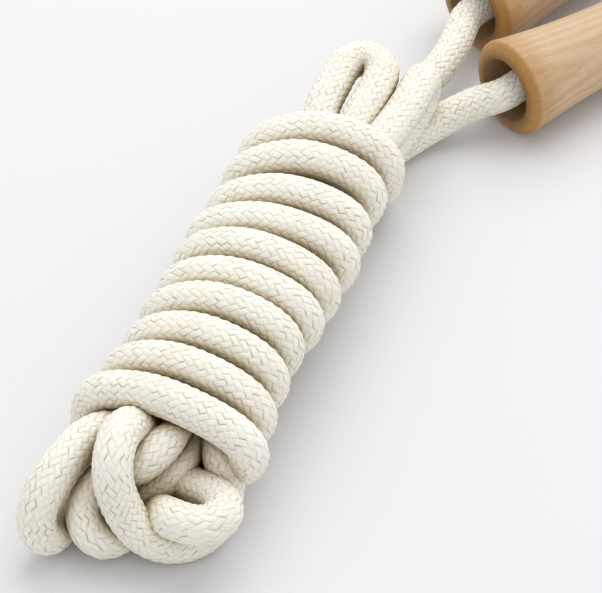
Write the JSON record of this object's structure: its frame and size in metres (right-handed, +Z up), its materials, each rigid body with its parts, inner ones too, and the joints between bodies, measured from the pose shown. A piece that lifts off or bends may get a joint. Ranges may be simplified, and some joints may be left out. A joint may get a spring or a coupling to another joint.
{
  "type": "jump rope",
  "caption": "Braided cotton jump rope wound up in a hank, with turned wooden handles that spin and slide a little on its knotted ends.",
  "frame": {"origin": "bottom centre of the two handles' box, on the surface that the rope lies on", "axes": "+X along the handles from their mouths to their butts, +Y across from the near handle to the far one, +Z up"},
  "size_m": [0.335, 0.132, 0.0365],
  "materials": {
    "turned_wood": "sanded, thin clear oil",
    "washer_steel": "zinc plated, dull",
    "cotton_braid": "natural unbleached cotton braid, matte",
    "core_yarn": "straight cotton yarns, matte",
    "whipping_thread": "waxed cotton thread, dull"
  },
  "bodies": {
    "rope": {"near_tail": "cotton_braid", "far_tail": "cotton_braid", "near_knot": "cotton_braid", "far_knot": "cotton_braid", "near_rope_end": "cotton_braid", "far_rope_end": "cotton_braid", "near_core": "core_yarn", "far_core": "core_yarn", "near_whipping": "whipping_thread", "far_whipping": "whipping_thread", "near_lead": "cotton_braid", "far_lead": "cotton_braid", "wrap_turns": "cotton_braid", "fold_bundle": "cotton_braid", "left_bight": "cotton_braid", "small_bight": "cotton_braid", "big_bight": "cotton_braid", "inner_bight": "cotton_braid", "top_bight": "cotton_braid", "right_bight": "cotton_braid", "low_bight": "cotton_braid"},
    "near_washer_body": {"near_washer": "washer_steel"},
    "near_handle_body": {"near_handle": "turned_wood"},
    "far_washer_body": {"far_washer": "washer_steel"},
    "far_handle_body": {"far_handle": "turned_wood"}
  },
  "joints": [
    {"name": "near_slide", "type": "slide", "parent": "rope", "child": "near_washer_body", "axis": [-0.999, 0.0436, 0], "range_m": [0, 0.003]},
    {"name": "near_spin", "type": "hinge", "parent": "near_washer_body", "child": "near_handle_body", "pos_m": [-0.07294, -0.0157, 0.01325], "axis": [0.999, -0.0436, 0], "continuous": true},
    {"name": "far_slide", "type": "slide", "parent": "rope", "child": "far_washer_body", "axis": [-0.999, -0.0436, 0], "range_m": [0, 0.003]},
    {"name": "far_spin", "type": "hinge", "parent": "far_washer_body", "child": "far_handle_body", "pos_m": [-0.05694, 0.0157, 0.01325], "axis": [0.999, 0.0436, 0], "continuous": true}
  ]
}
